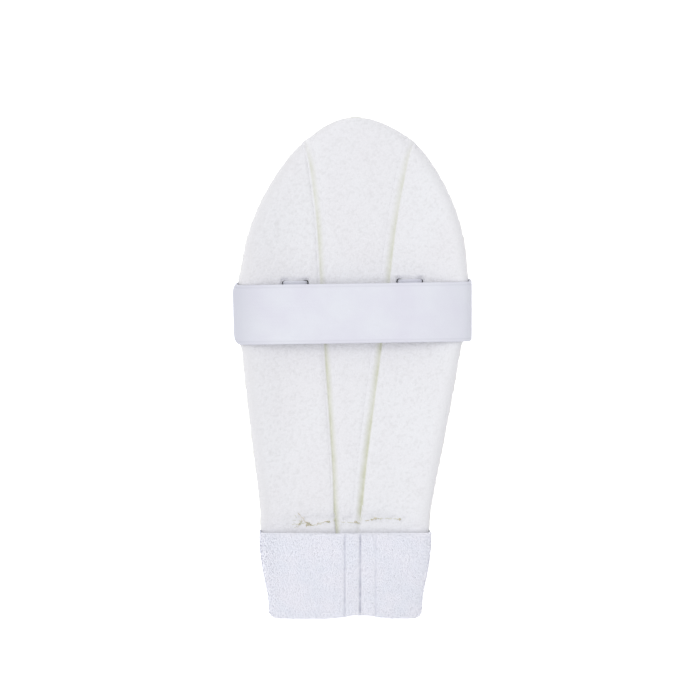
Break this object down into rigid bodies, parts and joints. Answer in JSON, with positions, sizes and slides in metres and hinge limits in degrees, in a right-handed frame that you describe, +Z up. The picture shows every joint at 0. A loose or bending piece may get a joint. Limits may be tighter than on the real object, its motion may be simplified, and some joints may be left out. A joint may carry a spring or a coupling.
{
  "type": "cricket arm guard",
  "caption": "Padded forearm guard with a curled oval pad, an elastic strap woven through slits and a towelling wrist cuff, lying arm side up.",
  "frame": {"origin": "on the surface that the guard rests on, under the middle of its bounding box", "axes": "+X across the forearm, +Y towards the elbow end, +Z up, out of the arm side"},
  "size_m": [0.132, 0.28, 0.0251],
  "materials": {
    "shell": "cream moulded foam with a fine matt skin",
    "cover": "brushed white pile over foam",
    "elastic": "white ribbed webbing, slightly lavender",
    "towelling": "white terry loops, slightly lavender"
  },
  "bodies": {
    "root": {"shell": "shell", "panel_left": "cover", "panel_middle": "cover", "panel_right": "cover", "strap": "elastic", "cuff": "towelling"}
  },
  "joints": []
}
